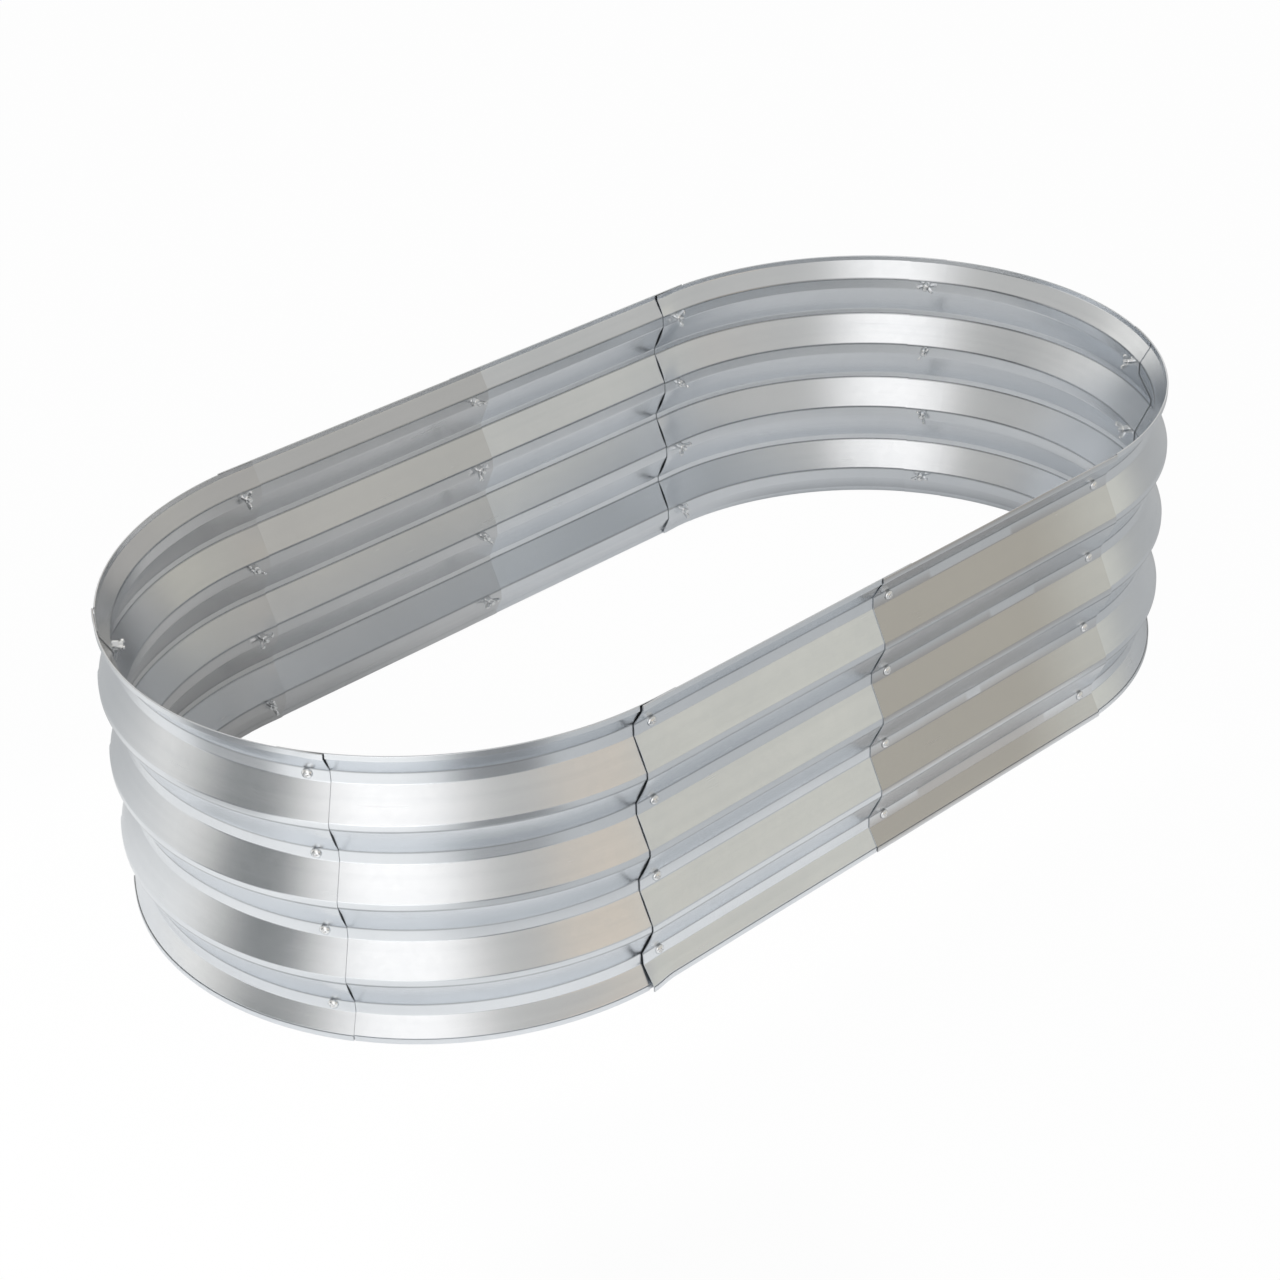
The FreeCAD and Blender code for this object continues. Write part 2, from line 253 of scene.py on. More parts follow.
paint = Finish(bpy.data.materials.new("white_floor"))
to_right = paint.along_axis(paint.place(), "X")
to_back = paint.along_axis(paint.place(), "Y")
past_end = paint.maths("MAXIMUM", abs(to_right) - STRAIGHT_HALF, 0.0)
from_wall = paint.maths("SQRT", past_end * past_end + to_back * to_back, 0.0) - WALL_OUT
bearing = paint.bearing(to_right + STRAIGHT_HALF, to_back)

# Further out the paper is painted grey: painted shade.
painted_shade_share = from_wall.between(0.06, 0.16) * (1.0 - bearing.around(165.0, 25.0, 55.0))
painted_shade_share = painted_shade_share * (1.0 - bearing.around(-147.0, 8.0, 28.0))
paper = paint.mixed(painted_shade_share, PALE_PAPER, SHADED_GREY_FLOOR)
# A painted dark place in front of the left end: painted shadow.
front_painted_shadow = bearing.around(-112.0, 6.0, 18.0) * from_wall.between(0.2, 0.3)
paper = paint.mixed(front_painted_shadow, paper, PAINTED_SHADOW_FLOOR)
# A painted dark place beyond the left end: painted shadow.
left_painted_shadow = bearing.around(171.0, 8.0, 20.0) * from_wall.between(0.27, 0.37)
paper = paint.mixed(left_painted_shadow, paper, PAINTED_SHADOW_FLOOR)
# A painted grey strip at the foot of the right end: painted shade.
right_end_painted_shade = to_right.between(0.31, 0.44) * from_wall.between(-0.012, 0.006)
paper = paint.mixed(right_end_painted_shade, paper, SHADED_GREY_FLOOR)

lit = paint.node("ShaderNodeBsdfDiffuse", {}, {"Color": paper})
white = paint.node("ShaderNodeEmission", {}, {"Color": WHITE, "Strength": 1.0})
seen = paint.node("ShaderNodeLightPath", {}, {}, output="Is Camera Ray")
mirrored = paint.node("ShaderNodeLightPath", {}, {}, output="Is Glossy Ray")
through = paint.node("ShaderNodeLightPath", {}, {}, output="Is Transmission Ray")
white_share = seen * SEEN_WHITE + (mirrored + through) * MIRRORED_WHITE
paint.surface(paint.node("ShaderNodeMixShader", {}, {0: white_share, 1: lit, 2: white}))

bpy.ops.object.select_all(action="DESELECT")
bpy.ops.mesh.primitive_plane_add(size=FLOOR_SIZE, location=(0.0, 0.0, FLOOR_HEIGHT))
floor = bpy.context.object
floor.name = "floor"
floor.data.materials.append(paint.made)
print("floor:", floor.name)

# %% [markdown]
# One area lamp at the front left lights the floor. The metal doesn't show it, because the room's soft box
# already stands there.

# %% Floor lamp
LAMP_PLACE = Vector((-3.8, -2.65, 1.9))
LAMP_TARGET = Vector((0.0, 0.0, 0.0))
LAMP_SIZE = 1.5
LAMP_WATTS = 205.0

lamp_turn = (LAMP_TARGET - LAMP_PLACE).to_track_quat("-Z", "Y").to_euler()
bpy.ops.object.light_add(type="AREA", location=LAMP_PLACE, rotation=lamp_turn)
lamp = bpy.context.object
lamp.name = "floor_lamp"
lamp.data.size = LAMP_SIZE
lamp.data.energy = LAMP_WATTS
lamp.visible_camera = False
lamp.visible_glossy = False
print("lamp:", lamp.name)

# %% [markdown]
# ## The finish of galvanised sheet
#
# Hot-dip galvanised coil is a bright, slightly bluish metal. Rolling leaves fine lines along the sheet, the
# zinc freezes in faint patches, and handling leaves a few scratches. A fine darker line is painted along the
# bends: painted shade. The pattern has to follow the sheet round the curved ends, so it reads the panel's own
# map, which counts metres along the ring and up its height.

# %% Galvanised sheet
BRIGHT_ZINC = (0.80, 0.83, 0.865, 1.0)
# A duller coil's tone, which also carries painted shade.
DULL_ZINC_AND_SHADE = (0.50, 0.485, 0.47, 1.0)
PATCH_ZINC = (0.70, 0.735, 0.775, 1.0)
# The colour of the painted shade along the bends.
BEND_SHADE_ZINC = (0.27, 0.29, 0.31, 1.0)

PITCH = 0.0805  # from valley to valley up the sheet
FIRST_VALLEY = 0.02925  # height of the lowest valley
VALLEY_BEND = 0.0057  # from a valley's middle up to the bend above it
CREST_BEND = 0.0368  # from a valley's middle up to the bend under the crest above it
LINE_CORE = 0.0002  # half of the darkest part of a painted shade line along a bend
LINE_HALF = 0.0017  # half of the whole line


def galvanised_finish():
    zinc = Finish(bpy.data.materials.new("bright_zinc_coat"))
    along = zinc.node("ShaderNodeUVMap", {"uv_map": "sheet"}, {})
    place = zinc.place()
    coil_tone_and_shade = zinc.node("ShaderNodeAttribute", {"attribute_name": "coil_dullness_and_shade"}, {}, output="Fac")

    rolled = zinc.noise(zinc.stretched(along, (6.0, 900.0, 1.0)), 1.0, detail=3.0)
    broad_rolled = zinc.noise(zinc.stretched(along, (1.5, 110.0, 1.0)), 1.0)
    clouds = zinc.noise(place, 7.0, detail=3.0)
    patches = zinc.node("ShaderNodeTexVoronoi", {}, {"Vector": place, "Scale": 130.0}, output="Color")
    patch = zinc.node("ShaderNodeSeparateColor", {}, {"Color": patches})
    scratch_lines = zinc.noise(zinc.stretched(along, (9.0, 260.0, 1.0), turn=0.5), 1.0, detail=1.0)
    scratches = scratch_lines.between(0.74, 0.80)

    from_valley = (zinc.along_axis(along, "Y") - FIRST_VALLEY).wrapped(PITCH / 2)
    from_bend = zinc.maths("MINIMUM", abs(from_valley - VALLEY_BEND), abs(from_valley - CREST_BEND))
    # A darker line painted along each bend: painted shade.
    painted_bend_shade = (1.0 - from_bend.between(LINE_CORE, LINE_HALF)) * (0.45 + clouds * 0.5)

    tone = clouds.between(0.3, 0.7) * 0.3 + patch * 0.1 + broad_rolled.between(0.3, 0.7) * 0.25
    colour = zinc.mixed(tone, BRIGHT_ZINC, PATCH_ZINC)
    # Duller coil tone and painted shade, by the number stored on each vertex.
    colour = zinc.mixed(coil_tone_and_shade, colour, DULL_ZINC_AND_SHADE)
    colour = zinc.mixed(painted_bend_shade, colour, BEND_SHADE_ZINC)
    roughness = 0.17 + clouds * 0.08 + rolled * 0.05 + patch * 0.02 + scratches * 0.06
    relief = zinc.relief(rolled * 0.5 + broad_rolled * 0.5 - scratches * 0.2, 0.12, 0.0002)
    return zinc.metal({"Base Color": colour, "Roughness": roughness, "Normal": relief})


galvanised = galvanised_finish()
print("finish:", galvanised.name)

# %% [markdown]
# ## Cut edges and fasteners
#
# The sheet's sheared edge is duller than its faces, where the shears smeared the zinc over bare steel. The
# bolts and wing nuts are brightly plated, a little cloudy, with fine marks from the driver.

# %% Cut edges and fasteners
SMEARED_STEEL = (0.42, 0.44, 0.46, 1.0)
SMEARED_ZINC = (0.66, 0.68, 0.70, 1.0)
BRIGHT_PLATE = (0.93, 0.94, 0.95, 1.0)
CLOUDY_PLATE = (0.80, 0.82, 0.84, 1.0)


def cut_edge_finish():
    edge = Finish(bpy.data.materials.new("cut_edge"))
    smear = edge.noise(edge.place(), 400.0)
    colour = edge.mixed(smear, SMEARED_STEEL, SMEARED_ZINC)
    return edge.metal({"Base Color": colour, "Roughness": 0.3 + smear * 0.2})


def plated_finish():
    plate = Finish(bpy.data.materials.new("bright_zinc_plate"))
    place = plate.place()
    clouds = plate.noise(place, 180.0)
    marks = plate.noise(plate.stretched(place, (2500.0, 500.0, 900.0)), 1.0, detail=1.0)
    colour = plate.mixed(clouds, BRIGHT_PLATE, CLOUDY_PLATE)
    roughness = 0.10 + clouds * 0.12 + marks * 0.06
    relief = plate.relief(marks + clouds, 0.2, 0.0001)
    return plate.metal({"Base Color": colour, "Roughness": roughness, "Normal": relief})


cut_edge = cut_edge_finish()
plated = plated_finish()
print("finishes:", cut_edge.name, plated.name)

# %% [markdown]
# ## The section of the sheet
#
# Every panel has the same section: four valleys that carry the bolts, three crests between them, and a hem
# folded over at the top and the bottom. By hand, a section is drawn as a line: one vertex, extruded from
# corner to corner, with its corners then rounded by a vertex bevel. The sizes are the real sheet's, in
# metres.

# %% Sizes of the sheet
SHEET = 0.0008
BED_HEIGHT = 0.300
VALLEY_COUNT = 4
DEPTH = 0.0155
CREST_FLAT = 0.006
SEAT_HALF = 0.0051  # half of the flat strip that the bolt heads sit on
BEND_SETBACK = 0.00095  # from a corner to where its rounding starts
BEND_STEPS = 4
RIM_LEAN = 0.0105
HEM_HEIGHT = 0.0055
HEM_RADIUS = 0.00045  # of the fold, at the middle of the sheet
FOLD_ROOM = 0.00001  # a fold made of flat faces is a little thicker at its corners
ROW_SPACING = 0.008  # rows of faces across the flat strips
ROW_CUTS = 3

valley_heights = [
    BED_HEIGHT / 2 + (row - (VALLEY_COUNT - 1) / 2) * PITCH for row in range(VALLEY_COUNT)
]


def half_section():
    """Corners from the top hem's lip down to the middle height: distance outward, then height."""
    middle = -SHEET / 2
    rim = middle + RIM_LEAN
    strip = rim + 2 * HEM_RADIUS
    lip = BED_HEIGHT - HEM_HEIGHT
    fold = BED_HEIGHT - SHEET / 2 - FOLD_ROOM
    corners = [(strip, lip), (strip, fold), (rim, fold), (rim, lip)]
    for height in reversed(valley_heights[VALLEY_COUNT // 2 :]):
        corners.append((middle, height + SEAT_HALF + BEND_SETBACK))
        corners.append((middle, height - SEAT_HALF - BEND_SETBACK))
        crest = height - PITCH / 2
        corners.append((middle + DEPTH, crest + CREST_FLAT / 2))
        corners.append((middle + DEPTH, crest - CREST_FLAT / 2))
    return corners[:-1]


upper = half_section()
lower = [(out, BED_HEIGHT - height) for out, height in reversed(upper)]
section = upper + lower
print("section corners:", len(section))

# %% [markdown]
# ## Drawing the section
#
# A primitive plane, merged to a single point, is the start of the line. The bends get a wider bevel than the
# folds of the hems, and the long flat strips are divided into rows, so that the sheet can wave later.


# %% Select and draw
def only(active):
    bpy.ops.object.select_all(action="DESELECT")
    active.select_set(True)
    bpy.context.view_layer.objects.active = active


def select_vertices(panel, chosen):
    """Selects vertices by a rule on their place. It leaves the panel in edit mode."""
    bpy.ops.object.mode_set(mode="EDIT")
    bpy.ops.mesh.select_mode(type="VERT")
    bpy.ops.mesh.select_all(action="DESELECT")
    bpy.ops.object.mode_set(mode="OBJECT")
    for vertex in panel.data.vertices:
        vertex.select = chosen(vertex.co)
    bpy.ops.object.mode_set(mode="EDIT")


def select_edges(panel, chosen):
    """Selects edges by a rule on their two ends. It leaves the panel in edit mode."""
    bpy.ops.object.mode_set(mode="EDIT")
    bpy.ops.mesh.select_mode(type="EDGE")
    bpy.ops.mesh.select_all(action="DESELECT")
    bpy.ops.object.mode_set(mode="OBJECT")
    corners = panel.data.vertices
    for edge in panel.data.edges:
        first, second = (corners[index].co for index in edge.vertices)
        edge.select = chosen(first, second)
    bpy.ops.object.mode_set(mode="EDIT")


def draw_section(name, start, outward):
    """The section as a line of edges, standing at start and facing outward."""
    places = [start + outward * out + Vector((0, 0, height)) for out, height in section]
    bpy.ops.object.select_all(action="DESELECT")
    bpy.ops.mesh.primitive_plane_add(size=0.001, location=places[0])
    panel = bpy.context.object
    panel.name = name
    panel.data.name = name
    bpy.ops.object.transform_apply(location=True, rotation=True, scale=True)
    bpy.ops.object.mode_set(mode="EDIT")
    bpy.ops.mesh.select_mode(type="VERT")
    bpy.ops.mesh.select_all(action="SELECT")
    bpy.ops.mesh.merge(type="CENTER")
    for here, there in zip(places, places[1:]):
        bpy.ops.mesh.extrude_region_move(TRANSFORM_OT_translate={"value": tuple(there - here)})
    return panel


def bevel_corners(offset):
    bpy.ops.mesh.bevel(
        offset=offset, offset_type="OFFSET", segments=BEND_STEPS, affect="VERTICES", clamp_overlap=True
    )


def round_section(panel):
    """Rounds the bends and the folds, and divides the long flat strips."""
    fold_reach = HEM_RADIUS * 2
    select_vertices(panel, lambda co: fold_reach < co.z < BED_HEIGHT - fold_reach)
    bevel_corners(BEND_SETBACK)
    select_vertices(panel, lambda co: not fold_reach < co.z < BED_HEIGHT - fold_reach)
    bevel_corners(HEM_RADIUS)
    bpy.ops.mesh.select_all(action="SELECT")
    bpy.ops.mesh.remove_doubles(threshold=HEM_RADIUS / 10)
    select_edges(panel, lambda first, second: (first - second).length > ROW_SPACING * 2)
    bpy.ops.mesh.subdivide(number_cuts=ROW_CUTS)
    bpy.ops.mesh.select_mode(type="VERT")
    bpy.ops.mesh.select_all(action="SELECT")


# %% [markdown]
# ## The places of the panels
#
# The places are written as the bed is built: round the ring, anticlockwise from above, each panel a straight
# run, a turn, or one of each. How far out a panel lies comes from the CAD's box.

# %% Places of the panels
LAP_HALF = 0.020  # from a row of bolts to the panel's end
END_LAP_ANGLE = 30.0
RING_RADIUS = 0.291
lap_degrees = math.degrees(LAP_HALF / RING_RADIUS)
middle_x = (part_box("panel_front_left")[0].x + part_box("panel_front_right")[1].x) / 2
print("middle of the bed: x", round(middle_x, 5))

# Each row: the angle that the panel faces at its start, where it starts along X, its straight run before its
# turn, its turn in degrees, and its straight run after it.
side_run = STRAIGHT_HALF + 2 * LAP_HALF
corner_turn = 90.0 - END_LAP_ANGLE + lap_degrees
end_turn = 2 * (END_LAP_ANGLE + lap_degrees)
PANELS = {
    "panel_front_left": (-90.0, -STRAIGHT_HALF - LAP_HALF, side_run, 0.0, 0.0),
    "panel_front_right": (-90.0, -LAP_HALF, side_run, 0.0, 0.0),
    "corner_front_right": (-90.0, STRAIGHT_HALF - LAP_HALF, LAP_HALF, corner_turn, 0.0),
    "end_right": (-END_LAP_ANGLE - lap_degrees, STRAIGHT_HALF, 0.0, end_turn, 0.0),
    "corner_back_right": (END_LAP_ANGLE - lap_degrees, STRAIGHT_HALF, 0.0, corner_turn, LAP_HALF),
    "panel_back_right": (90.0, STRAIGHT_HALF + LAP_HALF, side_run, 0.0, 0.0),
    "panel_back_left": (90.0, LAP_HALF, side_run, 0.0, 0.0),
    "corner_back_left": (90.0, -STRAIGHT_HALF + LAP_HALF, LAP_HALF, corner_turn, 0.0),
    "end_left": (180.0 - END_LAP_ANGLE - lap_degrees, -STRAIGHT_HALF, 0.0, end_turn, 0.0),
    "corner_front_left": (
        180.0 + END_LAP_ANGLE - lap_degrees, -STRAIGHT_HALF, 0.0, corner_turn, LAP_HALF
    ),
}
ring = list(PANELS)


def panel_radius(node):
    """How far the panel's valleys lie from the bed's centre line, from the CAD's box."""
    low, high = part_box(node)
    if node.startswith("end"):
        return max(high.x - middle_x, middle_x - low.x) - STRAIGHT_HALF - DEPTH
    return max(high.y, -low.y) - DEPTH


for node in ring:
    print(node, "radius", round(panel_radius(node), 5))

# %% [markdown]
# ## Measuring round the ring
#
# Laps, hems and waves are all placed by the distance along the wall, so these helpers turn a point into
# metres along the ring and back. The metres start at the middle of the front and run anticlockwise.

# %% Along and out of the ring
QUARTER = math.pi * RING_RADIUS / 2  # a quarter of a circle, along the wall
RING_LENGTH = 4 * STRAIGHT_HALF + 2 * math.pi * RING_RADIUS
START_SLACK = 0.001  # a point this little before a panel's start still counts as on it


def along_ring(co):
    """Metres along the bed's wall, from the middle of the front, anticlockwise."""
    x = co.x - middle_x
    if abs(x) <= STRAIGHT_HALF:
        return x if co.y < 0 else 2 * STRAIGHT_HALF + math.pi * RING_RADIUS - x
    if x > 0:
        angle = math.atan2(co.y, x - STRAIGHT_HALF)
        return STRAIGHT_HALF + RING_RADIUS * (angle + math.pi / 2)
    angle = math.atan2(co.y, x + STRAIGHT_HALF) % (2 * math.pi)
    return 3 * STRAIGHT_HALF + RING_RADIUS * (math.pi + angle - math.pi / 2)


def on_circle(centre_x, angle):
    """A point of a rounded end, by its angle from the end's centre."""
    out = Vector((math.cos(angle), math.sin(angle), 0.0))
    return Vector((centre_x, 0.0, 0.0)) + out * RING_RADIUS


def point_on_ring(along):
    """The point of the valleys' circle or line at a distance along the ring."""
    along = along % RING_LENGTH
    half_turn = 2 * QUARTER
    corners = [STRAIGHT_HALF, STRAIGHT_HALF + half_turn, 3 * STRAIGHT_HALF + half_turn]
    if along <= corners[0]:
        return Vector((middle_x + along, -RING_RADIUS, 0.0))
    if along <= corners[1]:
        angle = (along - corners[0]) / RING_RADIUS - math.pi / 2
        return on_circle(middle_x + STRAIGHT_HALF, angle)
    if along <= corners[2]:
        return Vector((middle_x + STRAIGHT_HALF - (along - corners[1]), RING_RADIUS, 0.0))
    if along <= corners[2] + half_turn:
        angle = (along - corners[2]) / RING_RADIUS + math.pi / 2
        return on_circle(middle_x - STRAIGHT_HALF, angle)
    return Vector((middle_x + along - RING_LENGTH, -RING_RADIUS, 0.0))


def start_of(name):
    facing, start_x = PANELS[name][:2]
    return on_circle(middle_x + start_x, math.radians(facing))


def metres_along(name, co):
    """Metres from the panel's start to a point on it."""
    here = along_ring(co) - along_ring(start_of(name))
    return (here + START_SLACK) % RING_LENGTH - START_SLACK


def panel_length(name):
    run_before, turn, run_after = PANELS[name][2:]
    return run_before + math.radians(turn) * RING_RADIUS + run_after


def out_of_ring(co):
    """Distance from the bed's centre line, square to the wall."""
    return math.hypot(max(abs(co.x - middle_x) - STRAIGHT_HALF, 0.0), co.y)


def outward_at(co):
    """The direction that the wall faces at a point."""
    x = co.x - middle_x
    beyond = 0.0 if abs(x) < STRAIGHT_HALF else x - math.copysign(STRAIGHT_HALF, x)
    return Vector((beyond, co.y, 0.0)).normalized()


def eased(value, low, high):
    """0 below low, 1 above high, and a smooth step between them."""
    share = min(max((value - low) / (high - low), 0.0), 1.0)
    return share * share * (3 - 2 * share)


print("round the ring:", round(RING_LENGTH, 4), "m")

# %% [markdown]
# ## Sweeping a panel
#
# A straight panel is its section pushed along the side. A curved panel is the same section spun about the
# centre of the rounded end. Spinning and repeated extruding keep the rows in line, so the surface stays
# smooth in reflections.

# %% Sweep a panel
COLUMN_SPACING = 0.005
COLUMN_DEGREES = 1.0


def push(run, facing):
    """Pushes the selected section along the wall, where the wall faces that way."""
    if run:
        steps = max(2, round(run / COLUMN_SPACING))
        along = Vector((-math.sin(math.radians(facing)), math.cos(math.radians(facing)), 0.0))
        bpy.ops.mesh.extrude_repeat(steps=steps, offset=tuple(along * (run / steps)))


def sweep(name):
    """The panel's middle surface, with no thickness."""
    facing, start_x, run_before, turn, run_after = PANELS[name]
    outward = Vector((math.cos(math.radians(facing)), math.sin(math.radians(facing)), 0.0))
    centre = Vector((middle_x + start_x, 0.0, 0.0))
    panel = draw_section(name + "_sheet", centre + outward * panel_radius(name), outward)
    round_section(panel)
    push(run_before, facing)
    if turn:
        pivot = (middle_x + math.copysign(STRAIGHT_HALF, start_x), 0.0, 0.0)
        steps = round(turn / COLUMN_DEGREES)
        bpy.ops.mesh.spin(steps=steps, angle=-math.radians(turn), center=pivot, axis=(0, 0, 1))
    push(run_after, facing + turn)
    bpy.ops.object.mode_set(mode="OBJECT")
    return panel


def face_outward(panel):
    """Turns the faces of the bare surface so that they look away from the bed's middle."""
    bpy.ops.object.mode_set(mode="EDIT")
    bpy.ops.mesh.select_all(action="SELECT")
    bpy.ops.mesh.normals_make_consistent(inside=False)
    bpy.ops.object.mode_set(mode="OBJECT")
    crest = max(panel.data.polygons, key=lambda face: out_of_ring(face.center))
    if crest.normal.dot(outward_at(crest.center)) < 0:
        panel.data.flip_normals()


# %% [markdown]
# ## The hems at the laps
#
# A panel whose neighbour laps over it has no hem there, because the neighbour has to lie flat on it. The hem
# is cut where the neighbour ends, with a bisect, and the strip beyond the cut is deleted.

# %% Cut the hems at the laps
HEM_CUT = 2 * LAP_HALF + 0.001
AHEAD = 0.0001  # a small step along the ring, to find its direction
STRIP_CLEAR = 0.00002  # the hem's folded strip lies further out than its rim by more than this
SAME_LEVEL = 0.0005  # panels that differ by less lie at one level


def cut_hem(panel, name, cut_at, beyond):
    """Deletes the hem beyond a distance along the panel. beyond is -1 for the start and 1 for the end."""
    along = (along_ring(start_of(name)) + cut_at) % RING_LENGTH
    spot = point_on_ring(along)
    ahead = point_on_ring(along + AHEAD) - spot
    bpy.ops.object.mode_set(mode="EDIT")
    bpy.ops.mesh.select_all(action="SELECT")
    bpy.ops.mesh.bisect(plane_co=tuple(spot), plane_no=tuple(ahead.normalized()))
    bpy.ops.mesh.select_mode(type="FACE")
    bpy.ops.mesh.select_all(action="DESELECT")
    bpy.ops.object.mode_set(mode="OBJECT")
    strip = panel_radius(name) + RIM_LEAN - SHEET / 2 + STRIP_CLEAR
    for face in panel.data.polygons:
        here = metres_along(name, face.center)
        at_edge = not HEM_HEIGHT + SHEET < face.center.z < BED_HEIGHT - HEM_HEIGHT - SHEET
        face.select = at_edge and (here - cut_at) * beyond > 0 and out_of_ring(face.center) > strip
    bpy.ops.object.mode_set(mode="EDIT")
    bpy.ops.mesh.delete(type="FACE")
    bpy.ops.object.mode_set(mode="OBJECT")


def cut_lapped_hems(panel, name):
    index = ring.index(name)
    before, after = ring[index - 1], ring[(index + 1) % len(ring)]
    if panel_radius(before) > panel_radius(name) + SAME_LEVEL:
        cut_hem(panel, name, HEM_CUT, -1)
    if panel_radius(after) > panel_radius(name) + SAME_LEVEL:
        cut_hem(panel, name, panel_length(name) - HEM_CUT, 1)


# %% [markdown]
# ## Loose edges
#
# Between its bolts the edge of a thin sheet springs off the sheet under it, most of all on the flanks that
# face down, and the gap shows as a dark slot. Only some edges of the real bed do so, each by its own amount,
# so the vertices near those edges are moved out or in, less and less away from the edge.

# %% Loose edges
LOOSE_LENGTH = 0.028  # how far from its edge a sheet springs
# Each row: the panel, whether it is its start or its end, and how far its edge stands out on the flanks that
# face down and on those that face up. Less than 0 is inward.
LOOSE_EDGES = (
    ("end_left", "start", 0.0014, 0.0004),
    ("end_left", "end", 0.0016, 0.0),
    ("panel_front_left", "start", 0.0011, 0.0007),
    ("panel_front_right", "start", 0.0006, 0.0),
    ("panel_front_right", "end", 0.0006, 0.0),
    ("corner_back_right", "end", -0.0018, -0.0016),
    ("corner_back_left", "start", -0.0006, -0.0003),
)
# One lower corner is pulled out: the panel, its start or end, how far, and up to what height.
PULLED_CORNER = ("panel_front_left", "start", 0.0030, 0.045)


def flank_share(height):
    """1 halfway up a flank and 0 at its ends, and whether that flank faces down outside."""
    from_valley = min((height - valley for valley in valley_heights), key=abs)
    reach = PITCH / 2 - CREST_FLAT / 2 - SEAT_HALF
    up_flank = min(max((abs(from_valley) - SEAT_HALF) / reach, 0.0), 1.0)
    return math.sin(math.pi * up_flank), from_valley > 0


def near_edge(name, which, co):
    """1 at that end of the panel, and 0 beyond the length that springs."""
    here = metres_along(name, co)
    if which == "end":
        here = panel_length(name) - here
    return 1.0 - eased(here, 0.0, LOOSE_LENGTH)


def loosen_edges(panel, name):
    for owner, which, faces_down, faces_up in LOOSE_EDGES:
        if owner == name:
            for vertex in panel.data.vertices:
                share, is_down = flank_share(vertex.co.z)
                moved = share * (faces_down if is_down else faces_up) * near_edge(name, which, vertex.co)
                vertex.co += outward_at(vertex.co) * moved
    owner, which, pulled, top = PULLED_CORNER
    if owner == name:
        for vertex in panel.data.vertices:
            low_share = 1.0 - eased(vertex.co.z, 0.0, top)
            vertex.co += outward_at(vertex.co) * pulled * low_share * near_edge(name, which, vertex.co)


# %% [markdown]
# ## Map, waves and thickness
#
# Real rolled sheet is never quite flat between its bolts. A Displace modifier with a cloud pattern moves it
# by a few tenths of a millimetre, held still near the laps, where the bolts clamp it, and at the folded
# rims. Solidify then gives the sheet its gauge and puts the cut-edge finish on its ends.

# %% Map, waves and thickness
WAVE_SIZE = 0.16
WAVE_HEIGHT = 0.0007
CLAMPED = 0.045  # sheet at each end that the bolts hold still
FREE = 0.11  # from the end to where the sheet moves fully
RIM_STIFF = 0.009  # the folded rims don't wave
RIM_FREE = 0.03
SMOOTH_BELOW = math.radians(40)  # bends are smooth and sheared edges are sharp

waves = bpy.data.textures.new("sheet_waves", "CLOUDS")
waves.noise_scale = WAVE_SIZE


def apply_modifier(piece, kind, **settings):
    modifier = piece.modifiers.new(kind.lower(), kind)
    for key, value in settings.items():
        setattr(modifier, key, value)
    only(piece)
    bpy.ops.object.modifier_apply(modifier=modifier.name)


def map_sheet(panel, name):
    """The panel's own map: metres along the ring, and metres up."""
    start = along_ring(start_of(name))
    layer = panel.data.uv_layers.new(name="sheet")
    for loop in panel.data.loops:
        co = panel.data.vertices[loop.vertex_index].co
        layer.data[loop.index].uv = (start + metres_along(name, co), co.z)


def wave_sheet(panel, name):
    free = panel.vertex_groups.new(name="free_sheet")
    length = panel_length(name)
    for vertex in panel.data.vertices:
        here = metres_along(name, vertex.co)
        from_rim = min(vertex.co.z, BED_HEIGHT - vertex.co.z)
        share = eased(min(here, length - here), CLAMPED, FREE) * eased(from_rim, RIM_STIFF, RIM_FREE)
        free.add([vertex.index], share, "REPLACE")
    apply_modifier(
        panel,
        "DISPLACE",
        texture=waves,
        texture_coords="LOCAL",
        direction="NORMAL",
        strength=WAVE_HEIGHT,
        mid_level=1.0,
        vertex_group="free_sheet",
    )


def thicken(panel):
    panel.data.materials.append(galvanised)
    panel.data.materials.append(cut_edge)
    apply_modifier(
        panel, "SOLIDIFY", thickness=SHEET, offset=0.0, use_even_offset=True, material_offset_rim=1
    )


def smooth(piece):
    """Smooth normals across the bends, flat ones across the broad faces."""
    only(piece)
    bpy.ops.object.shade_smooth_by_angle(angle=SMOOTH_BELOW)
    apply_modifier(piece, "WEIGHTED_NORMAL", mode="FACE_AREA", weight=50, keep_sharp=True)


# %% [markdown]
# ## The tone of each coil, and painted shade
#
# The panels were cut from different coils, and a few are duller than the rest. A number stored on each
# vertex tells the finish how dull the sheet is there, and it carries painted shade as well. Outside, the
# faces that look up are the dullest, a painted shade by which way they face, and the sheet grows brighter
# towards the panel's far end. Inside the left end the dullness is painted shade.

# %% Coil dullness and painted shade
# How dull a panel is, outside and inside: partly a duller coil and partly painted shade, as on the inside of
# the left end. Panels that aren't named are bright.
COIL_DULLNESS_AND_PAINTED_SHADE = {
    "panel_front_right": (0.85, 0.2),
    "panel_back_left": (0.0, 0.35),
    "corner_back_left": (0.0, 0.5),
    "end_left": (0.0, 0.7),
}
FACING_DOWN = 0.25  # share of the outside dullness and painted shade on the faces that look down; those that look up get all of it
FADED = 0.6  # share of the outside dullness that is gone at the far end
FADE_FROM, FADE_TO = 0.2, 0.33  # metres along the panel


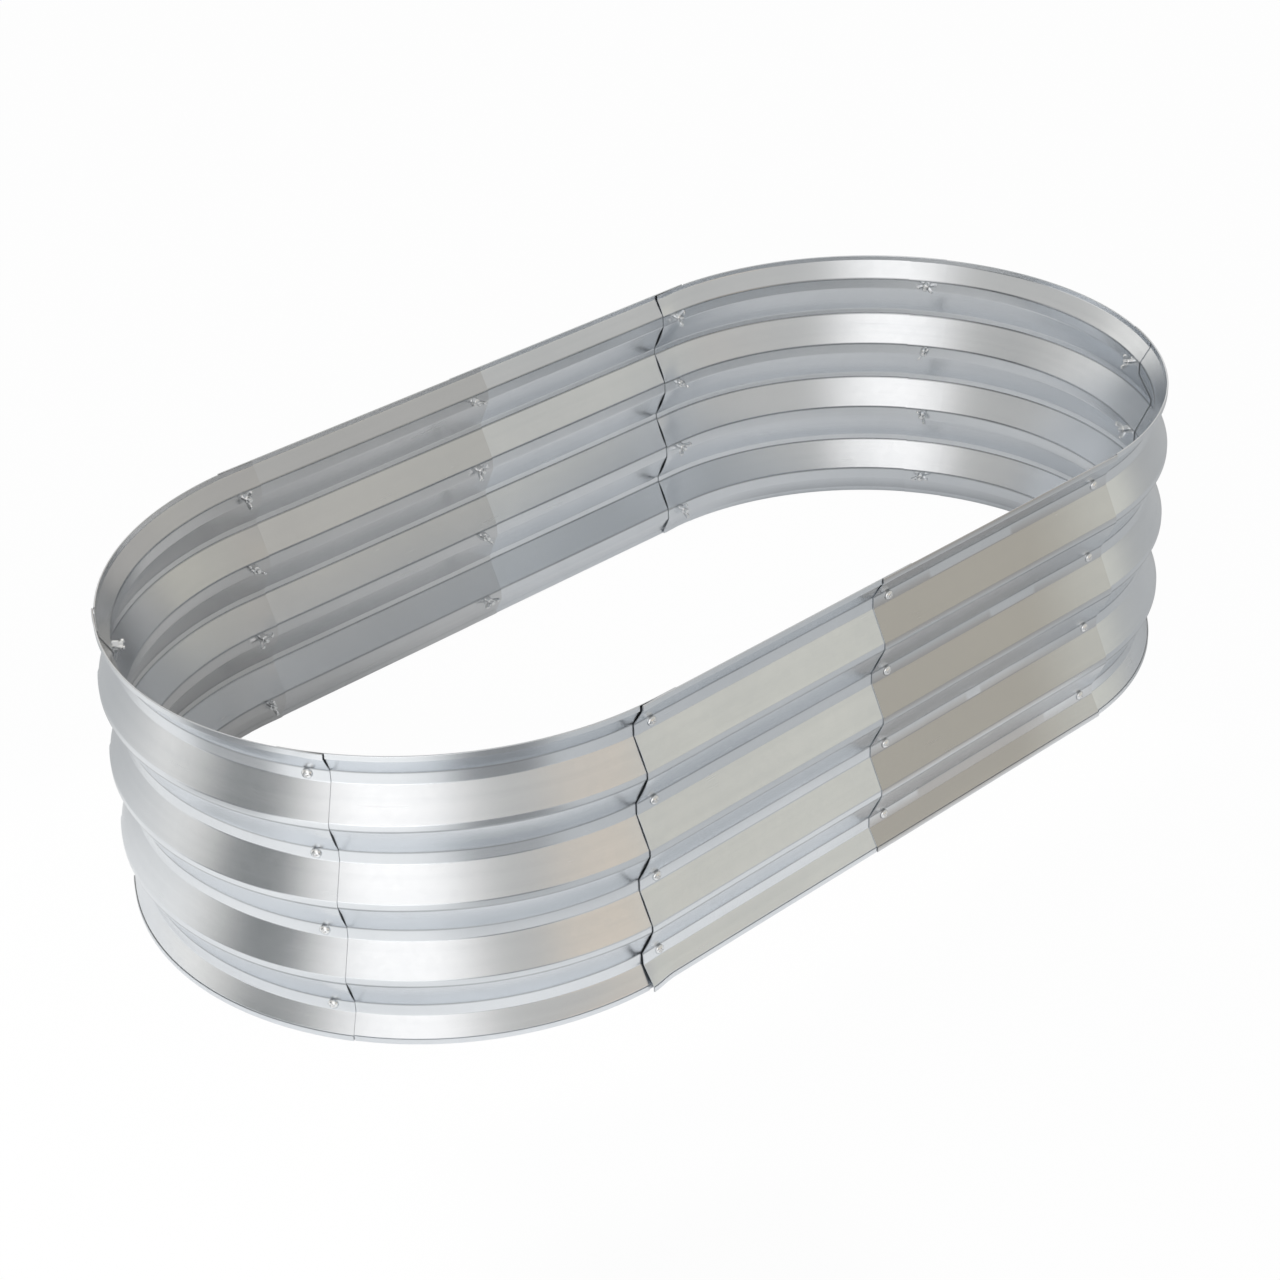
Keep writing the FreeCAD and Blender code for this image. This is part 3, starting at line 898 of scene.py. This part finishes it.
def tone_and_shade_sheet(panel, name):
    dullness_and_shade = panel.data.attributes.new("coil_dullness_and_shade", "FLOAT", "POINT")
    outside, inside = COIL_DULLNESS_AND_PAINTED_SHADE.get(name, (0.0, 0.0))
    for vertex, value in zip(panel.data.vertices, dullness_and_shade.data):
        if vertex.normal.dot(outward_at(vertex.co)) < 0:
            value.value = inside
        else:
            # Outside, faces that look up get the full amount: painted shade by which way they face.
            facing_shade = 1.0 if vertex.normal.z > 0.0 else FACING_DOWN
            fade = 1.0 - FADED * eased(metres_along(name, vertex.co), FADE_FROM, FADE_TO)
            value.value = outside * facing_shade * fade


# %% [markdown]
# ## Making the panels
#
# The surface of each panel is rolled, its hems are trimmed, its edges are loosened, and it gets its
# thickness, its tone and its painted shade. Each one replaces the CAD's node of its name.


# %% Make the panels
def make_panel(name):
    panel = sweep(name)
    only(panel)
    cut_lapped_hems(panel, name)
    loosen_edges(panel, name)
    face_outward(panel)
    map_sheet(panel, name)
    wave_sheet(panel, name)
    thicken(panel)
    smooth(panel)
    tone_and_shade_sheet(panel, name)
    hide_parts(name)
    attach(panel, "root")
    return panel


for node in ring:
    made = make_panel(node)
    print(made.name, "faces", len(made.data.polygons))

# %% [markdown]
# ## Bolts and wing nuts
#
# The CAD already has the true shape of the domed heads, their cross recess and the wings. Its meshes are
# loose triangles, which show as facets on bright plate, so each row of fasteners is a merged copy of its node
# with smooth normals.

# %% Fasteners
MERGE_DISTANCE = 0.00001


def polish_fasteners(name):
    bpy.ops.object.select_all(action="DESELECT")
    piece = bpy.data.objects.new(name + "_plated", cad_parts[name].data.copy())
    bpy.context.scene.collection.objects.link(piece)
    only(piece)
    bpy.ops.object.mode_set(mode="EDIT")
    bpy.ops.mesh.select_all(action="SELECT")
    bpy.ops.mesh.remove_doubles(threshold=MERGE_DISTANCE)
    bpy.ops.object.mode_set(mode="OBJECT")
    piece.data.materials.clear()
    piece.data.materials.append(plated)
    smooth(piece)
    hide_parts(name)
    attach(piece, "root")


fastener_nodes = sorted(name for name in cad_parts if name.startswith(("bolts_", "wing_nuts_")))
for node in fastener_nodes:
    polish_fasteners(node)
print("rows of fasteners:", len(fastener_nodes))
